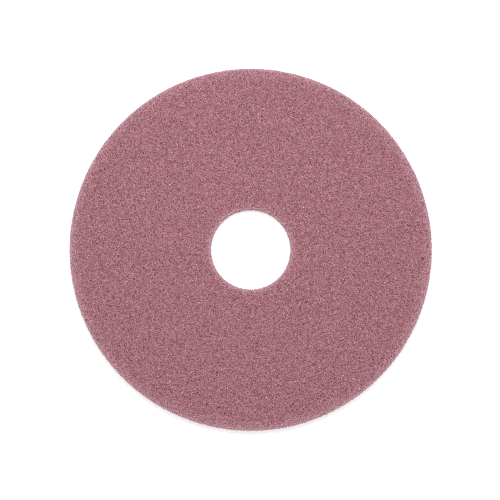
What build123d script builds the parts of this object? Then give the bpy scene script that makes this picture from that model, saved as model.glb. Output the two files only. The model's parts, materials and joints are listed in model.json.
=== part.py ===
"""Floor pad for a rotary floor machine: a die-cut ring of bonded nonwoven fibre.

The pad is one web of crimped fibres. Resin that carries the abrasive has soaked into one face,
and that layer, the working face, is stiffer and denser than the web behind it. The two layers
are bonded and never come apart in use, and each is written as a solid of its own.

Frame: +Z up, in millimetres. The origin is the centre of the hole on the driver face, the plain
face that the machine's pad driver grips. The pad lies on that face with its working face up.
"""

import os

from build123d import *

# Driving dimensions
PAD_DIAMETER = 406.4  # a 16 inch pad
HOLE_DIAMETER = 89.4  # passes the centre lock of the pad driver
PAD_THICKNESS = 25.0  # a full-thickness pad, 1 inch nominal
COAT_DEPTH = 4.0  # how far the abrasive resin soaks into the web

# The cutting die enters at the working face and presses the fibres over its edges.
WORKING_EDGE_RADIUS = 3.0
DRIVER_EDGE_RADIUS = 1.0

WEB_THICKNESS = PAD_THICKNESS - COAT_DEPTH


def die_cut_outline():
    """Draws the outline that the die cuts, the rim and the centre hole, in the open sketch."""
    Circle(PAD_DIAMETER / 2)
    Circle(HOLE_DIAMETER / 2, mode=Mode.SUBTRACT)


# Fibre web: the plain nonwoven body, from the driver face up to the depth that the resin reaches
with BuildPart() as fibre_web:
    with BuildSketch(Plane.XY):
        die_cut_outline()
    extrude(amount=WEB_THICKNESS)
    driver_face_edges = fibre_web.edges().filter_by(GeomType.CIRCLE).group_by(Axis.Z)[0]
    fillet(driver_face_edges, radius=DRIVER_EDGE_RADIUS)

# Abrasive face: the resin-bonded working layer, which lies on the web face to face
with BuildPart() as abrasive_face:
    with BuildSketch(Plane.XY.offset(WEB_THICKNESS)):
        die_cut_outline()
    extrude(amount=COAT_DEPTH)
    working_edges = abrasive_face.edges().filter_by(GeomType.CIRCLE).group_by(Axis.Z)[-1]
    fillet(working_edges, radius=WORKING_EDGE_RADIUS)

fibre_web.part.label = "fibre_web"
abrasive_face.part.label = "abrasive_face"

os.makedirs("parts", exist_ok=True)
export_step(fibre_web.part, "parts/fibre_web.step")
export_step(abrasive_face.part, "parts/abrasive_face.step")
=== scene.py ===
import json
import math

import bmesh
import bpy
import numpy as np
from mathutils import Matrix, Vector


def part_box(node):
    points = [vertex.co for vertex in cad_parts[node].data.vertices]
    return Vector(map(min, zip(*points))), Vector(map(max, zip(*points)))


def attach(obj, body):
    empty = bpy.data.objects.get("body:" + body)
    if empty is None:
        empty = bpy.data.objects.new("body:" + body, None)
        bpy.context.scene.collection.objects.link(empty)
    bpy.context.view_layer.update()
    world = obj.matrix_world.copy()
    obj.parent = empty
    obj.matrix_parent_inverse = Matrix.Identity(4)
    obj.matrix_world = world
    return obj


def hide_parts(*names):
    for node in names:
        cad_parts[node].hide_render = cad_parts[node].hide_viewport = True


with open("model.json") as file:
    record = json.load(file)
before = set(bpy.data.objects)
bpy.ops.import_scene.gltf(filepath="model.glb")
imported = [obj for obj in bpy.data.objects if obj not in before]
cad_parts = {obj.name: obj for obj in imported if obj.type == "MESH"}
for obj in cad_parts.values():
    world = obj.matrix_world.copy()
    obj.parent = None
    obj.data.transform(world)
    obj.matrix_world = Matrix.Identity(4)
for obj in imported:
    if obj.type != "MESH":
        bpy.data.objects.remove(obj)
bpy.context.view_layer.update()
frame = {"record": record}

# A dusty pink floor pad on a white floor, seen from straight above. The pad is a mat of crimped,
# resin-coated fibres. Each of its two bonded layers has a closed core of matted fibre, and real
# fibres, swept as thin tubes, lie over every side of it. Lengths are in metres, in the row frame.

MM = 0.001

# --- Sizes -----------------------------------------------------------------------------------------

# The pad's own sizes, from the frame
web_low, web_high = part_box("fibre_web")
face_low, face_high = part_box("abrasive_face")
RIM_R = max(face_high.x, web_high.x, face_high.y)
BOTTOM_Z, SEAM_Z, TOP_Z = web_low.z, face_low.z, face_high.z
centre_hole = next(mount for mount in frame["record"]["mounts"] if mount["name"] == "centre_hole")
HOLE_R = centre_hole["dims"]["r_mm"] * MM

WORKING_EDGE = 3 * MM  # rounding of the rim and of the hole at the working face
DRIVER_EDGE = 2 * MM  # and at the driver face, gentler than the CAD's 1 mm, so that no crimp juts out
SEAM_EDGE = 0.2 * MM  # and of the two cores where the layers meet
SKIN_STEP = 0.25 * MM  # between the stations at which the skin's section is known

# Each core lies a little below the pad's skin, under the fibres. Its mesh has cells of one size, apart
# from its hidden face on the seam, which keeps one row in so many, of cells so many times as wide.
CORE_INSET = 2.0 * MM
CORE_BELOW_TOP = 2.2 * MM
CORE_ABOVE_BOTTOM = 1.6 * MM
FACE_CORE_EDGE = 1.4 * MM
WEB_CELL = 1.9 * MM
FACE_CELL = 1.2 * MM
SEAM_ROWS = 8
SEAM_WIDTHS = 4
RELIEF_DEPTH = 0.8 * MM
RELIEF_SIZE = 1.9 * MM

# A fibre is a short crimped tube that rises and dives between two depths, with its ends buried.
FIBRE_POINTS = 7
FIBRE_STEP = 1.05 * MM
FIBRE_BEND = 0.52 / MM  # how sharply its crimp turns, in radians a metre
CRIMP_PITCHES = (4 * MM, 9 * MM)
DIVE_PITCHES = (3 * MM, 6 * MM)
FIBRE_DEPTHS = (0.08 * MM, 1.6 * MM)
END_DEPTH = 2.2 * MM
FIBRE_RADII = (0.29 * MM, 0.40 * MM)
DRIVER_FIBRE_RADII = (0.33 * MM, 0.44 * MM)
TUBE_SIDES = 3  # so that one triangle closes each end

# A cut end is a short, thinner tube that leans out of a wall.
CUT_END_POINTS = 5
CUT_END_RADII = (0.16 * MM, 0.24 * MM)
CUT_END_REACH = (0.2 * MM, 1.1 * MM)  # how far it stands out of the skin
CUT_END_LEAN = 0.4

DROP_RADII = (0.34 * MM, 0.6 * MM)
DROP_DEPTH = 0.1 * MM  # of its centre

# How many pieces of fibre there are on each side, and how many fibres in a piece
FACE_PIECES, FACE_FIBRES = 9, 5200
SIDE_PIECES, SIDE_FIBRES = 3, 4700
DRIVER_PIECES, DRIVER_FIBRES = 3, 5200
CUT_ENDS = 1400
RESIN_DROPS = 190

# The two steps of the R2 sequence, which fills a square without clumps
R2_STEPS = (0.7548776662, 0.5698402910)

rng = np.random.default_rng(1607)


# --- The outline of the pad's section, which every core and fibre follows ----------------------------


def arc(centre, radius, start, steps=8):
    """A quarter turn about a centre in the (r, z) plane, from an angle in degrees."""
    turn = np.radians(start) + np.linspace(0, np.pi / 2, steps + 1)
    return np.column_stack([centre[0] + radius * np.cos(turn), centre[1] + radius * np.sin(turn)])


def section(low, high, low_round, high_round, inset=0.0):
    """The section of a ring between two heights, anticlockwise from its low corner at the hole."""
    inner, outer = HOLE_R + inset, RIM_R - inset
    return np.vstack([
        arc((inner + low_round, low + low_round), low_round, 180),
        arc((outer - low_round, low + low_round), low_round, 270),
        arc((outer - high_round, high - high_round), high_round, 0),
        arc((inner + high_round, high - high_round), high_round, 90),
    ])


def stations(outline, spacing):
    """Even stations round a closed outline: their (r, z), outward normals and distances, and its length."""
    loop = np.vstack([outline, outline[:1]])
    run = np.concatenate([[0], np.cumsum(np.hypot(*np.diff(loop, axis=0).T))])
    distinct = np.concatenate([[True], np.diff(run) > 1e-9])
    loop, run = loop[distinct], run[distinct]
    count = round(run[-1] / spacing)
    at = np.arange(count) * run[-1] / count
    point = np.column_stack([np.interp(at, run, loop[:, 0]), np.interp(at, run, loop[:, 1])])
    ahead = np.roll(point, -1, 0) - np.roll(point, 1, 0)
    ahead /= np.linalg.norm(ahead, axis=1)[:, None]
    return point, np.column_stack([ahead[:, 1], -ahead[:, 0]]), at, run[-1]


class Skin:
    """The pad's outer surface, laid out as an angle round the pad and a distance round its section."""

    def __init__(self):
        outline = section(BOTTOM_Z, TOP_Z, DRIVER_EDGE, WORKING_EDGE)
        self.point, self.normal, self.at, self.length = stations(outline, SKIN_STEP)

    def look_up(self, table, distance):
        return np.interp(distance % self.length, self.at, table, period=self.length)

    def radius(self, distance):
        return self.look_up(self.point[:, 0], distance)

    def height(self, distance):
        return self.look_up(self.point[:, 1], distance)

    def place(self, turn, distance, depth):
        """Points at a depth below the surface, and the outward normals above them."""
        out_r = self.look_up(self.normal[:, 0], distance)
        out_z = self.look_up(self.normal[:, 1], distance)
        r = self.radius(distance) - depth * out_r
        z = self.height(distance) - depth * out_z
        cos, sin = np.cos(turn), np.sin(turn)
        point = np.stack([r * cos, r * sin, z], -1)
        normal = np.stack([out_r * cos, out_r * sin, out_z], -1)
        return point, normal / np.linalg.norm(normal, axis=-1, keepdims=True)


skin = Skin()


# --- Meshes ----------------------------------------------------------------------------------------


def new_piece(name, verts, tris, material):
    """A smooth-shaded mesh object from arrays of vertices and triangles."""
    mesh = bpy.data.meshes.new(name)
    mesh.vertices.add(len(verts))
    mesh.vertices.foreach_set("co", np.ascontiguousarray(verts, np.float32).ravel())
    mesh.loops.add(tris.size)
    mesh.loops.foreach_set("vertex_index", np.ascontiguousarray(tris, np.int32).ravel())
    mesh.polygons.add(len(tris))
    mesh.polygons.foreach_set("loop_start", np.arange(0, tris.size, 3, dtype=np.int32))
    mesh.update(calc_edges=True)
    mesh.validate()
    mesh.shade_smooth()
    mesh.materials.append(material)
    piece = bpy.data.objects.new(name, mesh)
    bpy.context.collection.objects.link(piece)
    return piece


def soft_noise(points, size, seed, octaves=2):
    """Smooth noise in space, about -1 to 1, with lumps of the given size."""
    side = 48
    lattice = np.random.default_rng(seed).uniform(-1, 1, (side, side, side))
    total = np.zeros(len(points))
    for octave in range(octaves):
        scaled = points / size * 2**octave + 7.3 * octave
        cell = np.floor(scaled).astype(int)
        part = scaled - cell
        part = part * part * (3 - 2 * part)
        value = 0.0
        for corner in np.ndindex(2, 2, 2):
            share = np.prod(np.where(corner, part, 1 - part), axis=1)
            value = value + share * lattice[tuple(((cell + corner) % side).T)]
        total += value / 2**octave
    return total


def strip(start_a, n, start_b, m):
    """Triangles between two rings that have n and m points."""
    i, j = np.arange(n), np.arange(m)
    end_a, end_b = (i + 1) / n, (j + 1) / m
    apex_b = np.searchsorted(end_b, end_a, side="left") % m
    apex_a = np.searchsorted(end_a, end_b, side="right") % n
    from_a = np.column_stack([start_a + i, start_a + (i + 1) % n, start_b + apex_b])
    from_b = np.column_stack([start_b + (j + 1) % m, start_b + j, start_a + apex_a])
    return np.vstack([from_a, from_b])


def ring_core(name, outline, cell, relief, material):
    """A closed ring of matted fibre, whose skin a relief function moves along its normals."""
    point, normal, _, _ = stations(outline, cell)
    on_seam = abs(point[:, 1] - SEAM_Z) < 0.01 * MM
    kept = ~on_seam | (np.arange(len(point)) % SEAM_ROWS == 0)
    width = np.where(on_seam, SEAM_WIDTHS * cell, cell)[kept]
    point, normal = point[kept], normal[kept]
    counts = np.round(2 * np.pi * point[:, 0] / width).astype(int)
    first = np.concatenate([[0], np.cumsum(counts)])
    verts, outward, tris = [], [], []
    for k, ((r, z), (out_r, out_z), count) in enumerate(zip(point, normal, counts)):
        turn = 2 * np.pi * np.arange(count) / count
        cos, sin = np.cos(turn), np.sin(turn)
        verts.append(np.column_stack([r * cos, r * sin, np.full(count, z)]))
        outward.append(np.column_stack([out_r * cos, out_r * sin, np.full(count, out_z)]))
        after = (k + 1) % len(counts)
        tris.append(strip(first[k], count, first[after], counts[after]))
    verts, outward = np.vstack(verts), np.vstack(outward)
    verts = verts + outward * relief(verts, outward)[:, None]
    return new_piece(name, verts, np.vstack(tris), material)


def scatter(count, density):
    """Where fibres start: evenly over the skin's area, times a density given along its section."""
    weight = skin.point[:, 0] * density(skin.point[:, 0], skin.point[:, 1])
    share = np.cumsum(weight) / weight.sum()
    order = rng.random() + np.arange(count)
    distance = np.interp(order * R2_STEPS[0] % 1, share, skin.at)
    return order * R2_STEPS[1] % 1 * 2 * np.pi, distance


def crimped_paths(count, density):
    """Centre lines of crimped fibres that wander over the skin, and the skin's normals along them.

    A fibre's crimp is a wave in its heading, and it dives and rises as a wave in its depth.
    """
    turn, distance = scatter(count, density)
    heading = rng.uniform(0, 2 * np.pi, count)
    hook = rng.normal(0, 0.35 * FIBRE_BEND, count)
    wave = FIBRE_BEND * rng.uniform(0.6, 1.3, count)
    pitch = rng.uniform(*CRIMP_PITCHES, count)
    phase = rng.uniform(0, 2 * np.pi, count)
    dive_pitch = rng.uniform(*DIVE_PITCHES, count)
    dive_phase = rng.uniform(0, 2 * np.pi, count)
    pace = FIBRE_STEP * rng.uniform(0.8, 1.2, count)
    shallow, deep = FIBRE_DEPTHS
    level = rng.uniform(0, 0.4, count)
    path, normal = [], []
    for k in range(FIBRE_POINTS):
        run = k * pace
        dive = level + (1 - level) * (0.5 - 0.5 * np.cos(2 * np.pi * run / dive_pitch + dive_phase))
        depth = shallow + (deep - shallow) * dive
        from_end = min(k, FIBRE_POINTS - 1 - k)
        depth = depth + (END_DEPTH - depth) * max(0, 1 - from_end / 1.5)
        point, out = skin.place(turn, distance, depth)
        path.append(point)
        normal.append(out)
        heading = heading + pace * (hook + wave * np.sin(2 * np.pi * run / pitch + phase))
        turn = turn + pace * np.cos(heading) / skin.radius(distance)
        distance = distance + pace * np.sin(heading)
    return np.stack(path, 1), np.stack(normal, 1)


def sweep(path, normal, radius):
    """Closed tubes along the paths, thinner at their ends."""
    count, points, _ = path.shape
    ahead = np.gradient(path, axis=1)
    ahead /= np.linalg.norm(ahead, axis=-1, keepdims=True)
    side = np.cross(ahead, normal)
    side /= np.linalg.norm(side, axis=-1, keepdims=True)
    up = np.cross(side, ahead)
    taper = np.ones(points)
    taper[[0, -1]] = 0.55
    reach = radius[:, None, None] * taper[None, :, None]
    turns = [2 * math.pi * k / TUBE_SIDES for k in range(TUBE_SIDES)]
    ring = [path + reach * (math.cos(turn) * up + math.sin(turn) * side) for turn in turns]
    verts = np.stack(ring, 2).reshape(-1, 3)
    tube = (np.arange(count) * points * TUBE_SIDES)[:, None, None]
    link = (np.arange(points - 1) * TUBE_SIDES)[None, :, None]
    wall = []
    for a in range(TUBE_SIDES):
        b = (a + 1) % TUBE_SIDES
        wall += [[a, b, b + TUBE_SIDES], [a, b + TUBE_SIDES, a + TUBE_SIDES]]
    walls = (tube[..., None] + link[..., None] + np.array(wall)).reshape(-1, 3)
    last = (points - 1) * TUBE_SIDES
    caps = (tube + np.array([[0, 2, 1], [last, last + 1, last + 2]])).reshape(-1, 3)
    return verts, np.vstack([walls, caps])


def fibres(name, count, density, material, radii=FIBRE_RADII):
    """Crimped fibres over part of the skin, none of them lower than the driver face."""
    path, normal = crimped_paths(count, density)
    verts, tris = sweep(path, normal, rng.uniform(*radii, count))
    verts[:, 2] = np.maximum(verts[:, 2], BOTTOM_Z)
    return new_piece(name, verts, tris, material)


def cut_ends(name, count, density, material):
    """Ends of fibres that the die cut off, leaning and a little curved, which stand out of the skin."""
    turn, distance = scatter(count, density)
    root, out = skin.place(turn, distance, END_DEPTH)
    lean = np.cross(out, rng.normal(size=(count, 3)))
    reach = END_DEPTH + rng.uniform(*CUT_END_REACH, count)
    path = []
    for share in np.linspace(0, 1, CUT_END_POINTS):
        path.append(root + (share * reach)[:, None] * (out + CUT_END_LEAN * share * lean))
    across = np.cross(out, lean)
    across = np.stack([across] * CUT_END_POINTS, 1)
    verts, tris = sweep(np.stack(path, 1), across, rng.uniform(*CUT_END_RADII, count))
    verts[:, 2] = np.maximum(verts[:, 2], BOTTOM_Z)
    return new_piece(name, verts, tris, material)


def drops(name, count, density, material):
    """Small uneven drops that sit on the skin."""
    turn, distance = scatter(count, density)
    centre, _ = skin.place(turn, distance, DROP_DEPTH)
    bm = bmesh.new()
    bmesh.ops.create_icosphere(bm, subdivisions=2, radius=1)
    ball = np.array([vert.co for vert in bm.verts])
    faces = np.array([[vert.index for vert in face.verts] for face in bm.faces])
    bm.free()
    size = rng.uniform(*DROP_RADII, (count, 1, 1))
    uneven = 1 + 0.15 * rng.normal(size=(count, 1, 3))
    verts = centre[:, None, :] + ball[None] * size * uneven
    tris = faces[None] + (np.arange(count) * len(ball))[:, None, None]
    return new_piece(name, verts.reshape(-1, 3), tris.reshape(-1, 3), material)


# --- Materials -------------------------------------------------------------------------------------

# Each material's tones run from dark to light.
FIBRE_TONES = [
    (0.0, (0.335, 0.118, 0.147)),
    (0.5, (0.408, 0.185, 0.221)),
    (0.85, (0.45, 0.24, 0.278)),
    (1.0, (0.49, 0.31, 0.35)),
]
# The core's tones are darker and redder than the fibres': painted shade where the core shows between them.
CORE_TONES = [(0.0, (0.25, 0.068, 0.095)), (0.5, (0.335, 0.115, 0.149)), (1.0, (0.42, 0.172, 0.213))]
# The drops' paler tones: a painted highlight for their glints, besides their glossy finish.
DROP_GLINT_TONES = [(0.0, (0.54, 0.30, 0.35)), (1.0, (0.68, 0.46, 0.51))]
# Painted highlight: the paler pink of a band beside the rim and the hole.
PAINTED_EDGE_HIGHLIGHT = (0.60, 0.37, 0.42)
# Painted shade: the grey of the rounded lips at the top of both walls.
PAINTED_LIP_SHADE = (0.31, 0.20, 0.235)
# Painted shade: the dark red of pits in the core.
PAINTED_PIT_SHADE = (0.12, 0.018, 0.03)


def new_material(name, roughness):
    """A material, its node tree and its shader."""
    material = bpy.data.materials.new(name)
    material.use_nodes = True
    shader = material.node_tree.nodes["Principled BSDF"]
    shader.inputs["Roughness"].default_value = roughness
    return material, material.node_tree, shader


def add_node(tree, kind, inputs, **settings):
    """A new node with its settings made and its inputs set, or linked where a socket is given."""
    node = tree.nodes.new(kind)
    for key, value in settings.items():
        setattr(node, key, value)
    for key, value in inputs.items():
        if isinstance(value, bpy.types.NodeSocket):
            tree.links.new(value, node.inputs[key])
        else:
            node.inputs[key].default_value = value
    return node


def object_place(tree):
    return add_node(tree, "ShaderNodeTexCoord", {}).outputs["Object"]


def random_per_fibre(tree):
    return add_node(tree, "ShaderNodeNewGeometry", {}).outputs["Random Per Island"]


def calculate(tree, operation, a, b):
    return add_node(tree, "ShaderNodeMath", {0: a, 1: b}, operation=operation).outputs["Value"]


def fade(tree, value, start, end, smooth=True):
    """0 up to the start, 1 from the end on."""
    kind = "SMOOTHSTEP" if smooth else "LINEAR"
    inputs = {"Value": value, "From Min": start, "From Max": end}
    return add_node(tree, "ShaderNodeMapRange", inputs, interpolation_type=kind).outputs["Result"]


def lumps(tree, place, size):
    """Smooth noise with lumps of the given size."""
    inputs = {"Vector": place, "Scale": 1 / size, "Detail": 0}
    return add_node(tree, "ShaderNodeTexNoise", inputs).outputs["Fac"]


def tones(tree, value, stops):
    """A colour for each value, through the given stops."""
    node = add_node(tree, "ShaderNodeValToRGB", {"Fac": value})
    first, last = node.color_ramp.elements
    first.position, first.color = stops[0][0], (*stops[0][1], 1)
    last.position, last.color = stops[-1][0], (*stops[-1][1], 1)
    for position, colour in stops[1:-1]:
        node.color_ramp.elements.new(position).color = (*colour, 1)
    return node.outputs["Color"]


def tint(tree, colour, where, most, towards):
    """Mixes a colour towards another, by up to a given share."""
    share = calculate(tree, "MULTIPLY", where, most)
    inputs = {"Factor": share, "A": colour, "B": (*towards, 1)}
    return add_node(tree, "ShaderNodeMix", inputs, data_type="RGBA").outputs["Result"]


def near_cuts(tree, from_rim, from_hole, past):
    """0 in the face, rising to 1 at a given distance past the rim and past the hole."""
    flat = add_node(tree, "ShaderNodeVectorMath", {0: object_place(tree), 1: (1, 1, 0)}, operation="MULTIPLY")
    length = add_node(tree, "ShaderNodeVectorMath", {0: flat.outputs["Vector"]}, operation="LENGTH")
    radius = length.outputs["Value"]
    at_rim = fade(tree, radius, RIM_R - from_rim, RIM_R + past)
    at_hole = fade(tree, radius, HOLE_R + from_hole, HOLE_R - past)
    return calculate(tree, "ADD", at_rim, at_hole)


def paint_edge_light_and_shade(tree, colour, highlight_share):
    """Painted highlight in a paler band beside the rim and the hole, and painted shade that greys the rounded
    lips of both walls.
    """
    beside_cuts = near_cuts(tree, 15 * MM, 8 * MM, 1 * MM)
    with_highlight = tint(tree, colour, beside_cuts, highlight_share, PAINTED_EDGE_HIGHLIGHT)
    on_cuts = near_cuts(tree, 2.6 * MM, 2.6 * MM, -1 * MM)
    height = add_node(tree, "ShaderNodeSeparateXYZ", {"Vector": object_place(tree)}).outputs["Z"]
    lips = calculate(tree, "MULTIPLY", on_cuts, fade(tree, height, TOP_Z - 5 * MM, TOP_Z - 2 * MM))
    return tint(tree, with_highlight, lips, 0.5, PAINTED_LIP_SHADE)


def fibre_material():
    """Resin-coated fibre: each fibre has its own tone, mottled by the grain of the abrasive."""
    material, tree, shader = new_material("resin_fibre", 0.6)
    grain = fade(tree, lumps(tree, object_place(tree), 1.2 * MM), 0.3, 0.7, smooth=False)
    inputs = {"Factor": 0.78, "A": random_per_fibre(tree), "B": grain}
    tone = add_node(tree, "ShaderNodeMix", inputs).outputs["Result"]
    # Painted highlight beside the rim and the hole, and painted shade on the lips.
    colour = paint_edge_light_and_shade(tree, tones(tree, tone, FIBRE_TONES), 0.30)
    tree.links.new(colour, shader.inputs["Base Color"])
    return material


def drop_material():
    """Drops of resin, paler than the fibres as a painted highlight, that glint where they sit on the
    crossings of the fibres.
    """
    material, tree, shader = new_material("resin_drop", 0.25)
    colour = tones(tree, random_per_fibre(tree), DROP_GLINT_TONES)
    tree.links.new(colour, shader.inputs["Base Color"])
    return material


def strands(tree, place, size, turns, seed):
    """Thin curly lines, light on dark: the level lines of a smooth noise."""
    inputs = {"Vector": place, "W": seed, "Scale": 1 / size, "Detail": 1}
    noise = add_node(tree, "ShaderNodeTexNoise", inputs, noise_dimensions="4D").outputs["Fac"]
    level = calculate(tree, "PINGPONG", calculate(tree, "MULTIPLY", noise, turns), 0.5)
    return fade(tree, level, 0.24, 0.02)


def core_material():
    """Matted fibre, coloured darker and redder than the fibres as painted shade: three layers of strands,
    with painted shade in dark pits between them.
    """
    material, tree, shader = new_material("matted_fibre", 0.8)
    place = object_place(tree)
    web = strands(tree, place, 5 * MM, 6, 1.3)
    web = calculate(tree, "MAXIMUM", web, strands(tree, place, 6.5 * MM, 8, 4.1))
    web = calculate(tree, "MAXIMUM", web, strands(tree, place, 4 * MM, 5, 8.7))
    # Painted highlight beside the rim and the hole, and painted shade on the lips.
    colour = paint_edge_light_and_shade(tree, tones(tree, web, CORE_TONES), 0.40)
    # Painted shade: darker, redder spots in the core's pits.
    pits = fade(tree, lumps(tree, place, 1.8 * MM), 0.57, 0.67)
    shaded_in_pits = tint(tree, colour, pits, 0.74, PAINTED_PIT_SHADE)
    bump = add_node(tree, "ShaderNodeBump", {"Height": web, "Distance": 0.7 * MM})
    tree.links.new(shaded_in_pits, shader.inputs["Base Color"])
    tree.links.new(bump.outputs["Normal"], shader.inputs["Normal"])
    return material


# --- The pad ---------------------------------------------------------------------------------------

FIBRE = fibre_material()
DROP = drop_material()
CORE = core_material()


def ridges(verts):
    """Ridges and pits, by which a core's skin rises and falls."""
    return RELIEF_DEPTH * (0.6 - 2 * abs(soft_noise(verts, RELIEF_SIZE, seed=5)))


def web_relief(verts, outward):
    """Flat at the seam, and never as low as the driver face."""
    at_seam = verts[:, 2] > SEAM_Z - 1 * MM
    at_floor = outward[:, 2] < -0.5
    height = ridges(verts)
    return np.where(at_seam, 0, np.where(at_floor, np.minimum(height, 0.6 * MM), height))


def face_relief(verts, outward):
    """Flat at the seam."""
    return np.where(verts[:, 2] < SEAM_Z + 0.5 * MM, 0, ridges(verts))


def on_top(r, z):
    """The working face and its rounded edges, with more fibres towards the cuts."""
    near_cut = np.clip(1 - np.minimum(RIM_R - r, r - HOLE_R) / (9 * MM), 0, 1)
    return (z > SEAM_Z) * (1 + 0.5 * near_cut)


def on_sides(r, z):
    """The web's walls, at the rim and in the hole."""
    return ((z <= SEAM_Z) & (z > BOTTOM_Z + DRIVER_EDGE)).astype(float)


def on_walls(r, z):
    """The whole height of both walls, with more cut ends in the hole."""
    on_wall = (z > BOTTOM_Z + DRIVER_EDGE) & (z < TOP_Z - 0.5 * WORKING_EDGE)
    return on_wall * np.where(r < HOLE_R + WORKING_EDGE, 1.6, 1.0)


def on_driver_face(r, z):
    return (z <= BOTTOM_Z + DRIVER_EDGE).astype(float)


def add_to_pad(piece):
    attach(piece, "root")


def add_core(piece, node):
    """A core stands for its layer's plain CAD solid."""
    add_to_pad(piece)
    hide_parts(node)


web_outline = section(BOTTOM_Z + CORE_ABOVE_BOTTOM, SEAM_Z, DRIVER_EDGE, SEAM_EDGE, CORE_INSET)
add_core(ring_core("web_core", web_outline, WEB_CELL, web_relief, CORE), "fibre_web")
face_outline = section(SEAM_Z, TOP_Z - CORE_BELOW_TOP, SEAM_EDGE, FACE_CORE_EDGE, CORE_INSET)
add_core(ring_core("face_core", face_outline, FACE_CELL, face_relief, CORE), "abrasive_face")

for k in range(FACE_PIECES):
    add_to_pad(fibres(f"face_fibres_{k + 1}", FACE_FIBRES, on_top, FIBRE))
for k in range(SIDE_PIECES):
    add_to_pad(fibres(f"side_fibres_{k + 1}", SIDE_FIBRES, on_sides, FIBRE))
for k in range(DRIVER_PIECES):
    name = f"driver_fibres_{k + 1}"
    add_to_pad(fibres(name, DRIVER_FIBRES, on_driver_face, FIBRE, DRIVER_FIBRE_RADII))
add_to_pad(drops("resin_drops", RESIN_DROPS, on_top, DROP))
add_to_pad(cut_ends("cut_ends", CUT_ENDS, on_walls, FIBRE))


# --- Floor, light and camera -----------------------------------------------------------------------

FLOOR_SIZE = 60
FLOOR_GAP = 0.2 * MM  # below the pad
CAMERA_HEIGHT = 4.0  # above the working face
CAMERA_OFFSET = (-0.82 * MM, -0.3 * MM)  # from the pad's axis
FRAME_WIDTH = 0.5601  # how much of that face's plane the picture is wide
SENSOR_WIDTH = 36  # mm

scene = bpy.context.scene


def add_object(name, data, location=(0, 0, 0)):
    new = bpy.data.objects.new(name, data)
    new.location = location
    bpy.context.collection.objects.link(new)
    return new


def lay_floor():
    """A wide floor that glows a little, as a light table does, so that it stays white round the pad."""
    bpy.ops.mesh.primitive_plane_add(size=FLOOR_SIZE, location=(0, 0, BOTTOM_Z - FLOOR_GAP))
    floor = bpy.context.object
    floor.name = "floor"
    material, _, shader = new_material("pale_floor", 0.9)
    shader.inputs["Base Color"].default_value = (0.9, 0.9, 0.9, 1)
    shader.inputs["Emission Color"].default_value = (1, 1, 1, 1)
    shader.inputs["Emission Strength"].default_value = 0.15
    floor.data.materials.append(material)


def light_studio():
    """A white dome, darker overhead, a wide sun straight above, and a softbox towards +Y."""
    world = bpy.data.worlds.new("studio")
    world.use_nodes = True
    scene.world = world
    tree = world.node_tree
    way = add_node(tree, "ShaderNodeTexCoord", {}).outputs["Generated"]
    height = add_node(tree, "ShaderNodeSeparateXYZ", {"Vector": way}).outputs["Z"]
    stops = [(0.0, 1.0), (0.12, 1.0), (0.5, 0.65), (1.0, 0.6)]
    dome = tones(tree, height, [(at, (grey, grey, grey)) for at, grey in stops])
    tree.links.new(dome, tree.nodes["Background"].inputs["Color"])

    sun = bpy.data.lights.new("overhead", "SUN")
    sun.energy = 1.0
    sun.angle = math.radians(9)
    add_object("overhead", sun)

    box = bpy.data.lights.new("softbox", "AREA")
    box.shape = "DISK"
    box.size = 0.7
    box.energy = 17
    softbox = add_object("softbox", box, (0, 0.34, 1.3))
    softbox.rotation_euler = (-softbox.location).to_track_quat("-Z", "Y").to_euler()


def set_camera():
    """A long lens straight above the pad, a hair off its axis."""
    data = bpy.data.cameras.new("camera")
    data.sensor_width = SENSOR_WIDTH
    data.lens = SENSOR_WIDTH * CAMERA_HEIGHT / FRAME_WIDTH
    data.clip_end = 100
    scene.camera = add_object("camera", data, (*CAMERA_OFFSET, TOP_Z + CAMERA_HEIGHT))


lay_floor()
light_studio()
set_camera()

# The fibres are about as fine as a pixel: a denoiser smears them, and clamped samples leave no sparks.
scene.view_settings.view_transform = "Standard"
scene.cycles.use_denoising = False
scene.cycles.pixel_filter_type = "BLACKMAN_HARRIS"
scene.cycles.filter_width = 1.2
scene.cycles.sample_clamp_direct = 3
scene.cycles.sample_clamp_indirect = 3
